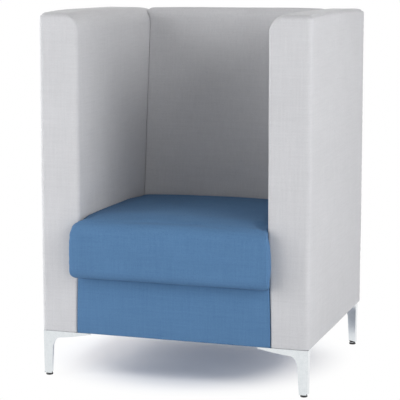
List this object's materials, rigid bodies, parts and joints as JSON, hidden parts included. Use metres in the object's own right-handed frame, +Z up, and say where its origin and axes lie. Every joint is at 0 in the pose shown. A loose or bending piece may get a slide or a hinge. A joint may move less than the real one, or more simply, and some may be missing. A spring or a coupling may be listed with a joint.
{
  "type": "acoustic high back lounge chair",
  "caption": "High back lounge chair with tall upholstered side and back panels round a fixed cushioned seat, on slim polished metal legs with levelling glides.",
  "frame": {"origin": "on the floor, midway across the overall width and the overall depth", "axes": "+Z up; +Y from the front to the rear, so the chair faces -Y; +X to the right as seen from the front"},
  "size_m": [0.78, 0.708, 1.03],
  "materials": {
    "grey_cloth": "matte",
    "blue_cloth": "matte",
    "foam": "matte",
    "timber": "matte",
    "board": "matte",
    "acoustic_slab": "matte",
    "webbing": "matte",
    "felt": "matte",
    "nonwoven": "matte",
    "zinc_steel": "satin",
    "polished_metal": "polished",
    "black_plastic": "matte"
  },
  "bodies": {
    "chair": {"left_side_frame": "timber", "left_outer_board": "board", "left_inner_board": "board", "left_acoustic_infill": "acoustic_slab", "left_side_foam": "foam", "left_side_cover": "grey_cloth", "right_side_frame": "timber", "right_outer_board": "board", "right_inner_board": "board", "right_acoustic_infill": "acoustic_slab", "right_side_foam": "foam", "right_side_cover": "grey_cloth", "back_frame": "timber", "back_front_board": "board", "back_rear_board": "board", "back_acoustic_infill": "acoustic_slab", "back_foam": "foam", "back_cover": "grey_cloth", "seat_side_rails": "timber", "seat_cross_rails": "timber", "seat_corner_blocks": "timber", "seat_webbing_long": "webbing", "seat_webbing_cross": "webbing", "seat_felt": "felt", "seat_foam": "foam", "seat_cover": "blue_cloth", "apron_board": "board", "apron_foam": "foam", "apron_cover": "blue_cloth", "dust_cover": "nonwoven", "spacer_blocks": "timber", "panel_bolts": "zinc_steel", "panel_washers": "zinc_steel", "panel_tee_nuts": "zinc_steel", "leg_front_left": "polished_metal", "leg_front_right": "polished_metal", "leg_rear_left": "polished_metal", "leg_rear_right": "polished_metal", "leg_end_plugs": "black_plastic", "leg_bolts": "zinc_steel", "leg_tee_nuts": "zinc_steel"},
    "foot_front_left": {"glide_pad_front_left": "black_plastic"},
    "stem_front_left": {"glide_stem_front_left": "zinc_steel"},
    "foot_front_right": {"glide_pad_front_right": "black_plastic"},
    "stem_front_right": {"glide_stem_front_right": "zinc_steel"},
    "foot_rear_left": {"glide_pad_rear_left": "black_plastic"},
    "stem_rear_left": {"glide_stem_rear_left": "zinc_steel"},
    "foot_rear_right": {"glide_pad_rear_right": "black_plastic"},
    "stem_rear_right": {"glide_stem_rear_right": "zinc_steel"}
  },
  "joints": [
    {"name": "foot_front_left_travel", "type": "slide", "parent": "chair", "child": "foot_front_left", "axis": [0, 0, 1], "range_m": [-0.01, 0]},
    {"name": "stem_front_left_turn", "type": "hinge", "parent": "foot_front_left", "child": "stem_front_left", "pos_m": [-0.3735, -0.294, 0.02], "axis": [0, 0, 1], "range_deg": [-2880, 0]},
    {"name": "foot_front_right_travel", "type": "slide", "parent": "chair", "child": "foot_front_right", "axis": [0, 0, 1], "range_m": [-0.01, 0]},
    {"name": "stem_front_right_turn", "type": "hinge", "parent": "foot_front_right", "child": "stem_front_right", "pos_m": [0.3735, -0.294, 0.02], "axis": [0, 0, 1], "range_deg": [-2880, 0]},
    {"name": "foot_rear_left_travel", "type": "slide", "parent": "chair", "child": "foot_rear_left", "axis": [0, 0, 1], "range_m": [-0.01, 0]},
    {"name": "stem_rear_left_turn", "type": "hinge", "parent": "foot_rear_left", "child": "stem_rear_left", "pos_m": [-0.3735, 0.318, 0.02], "axis": [0, 0, 1], "range_deg": [-2880, 0]},
    {"name": "foot_rear_right_travel", "type": "slide", "parent": "chair", "child": "foot_rear_right", "axis": [0, 0, 1], "range_m": [-0.01, 0]},
    {"name": "stem_rear_right_turn", "type": "hinge", "parent": "foot_rear_right", "child": "stem_rear_right", "pos_m": [0.3735, 0.318, 0.02], "axis": [0, 0, 1], "range_deg": [-2880, 0]}
  ],
  "couplings": [
    {"joint": "stem_front_left_turn", "follows": "foot_front_left_travel", "rad_per_m": 5026.5},
    {"joint": "stem_front_right_turn", "follows": "foot_front_right_travel", "rad_per_m": 5026.5},
    {"joint": "stem_rear_left_turn", "follows": "foot_rear_left_travel", "rad_per_m": 5026.5},
    {"joint": "stem_rear_right_turn", "follows": "foot_rear_right_travel", "rad_per_m": 5026.5}
  ]
}
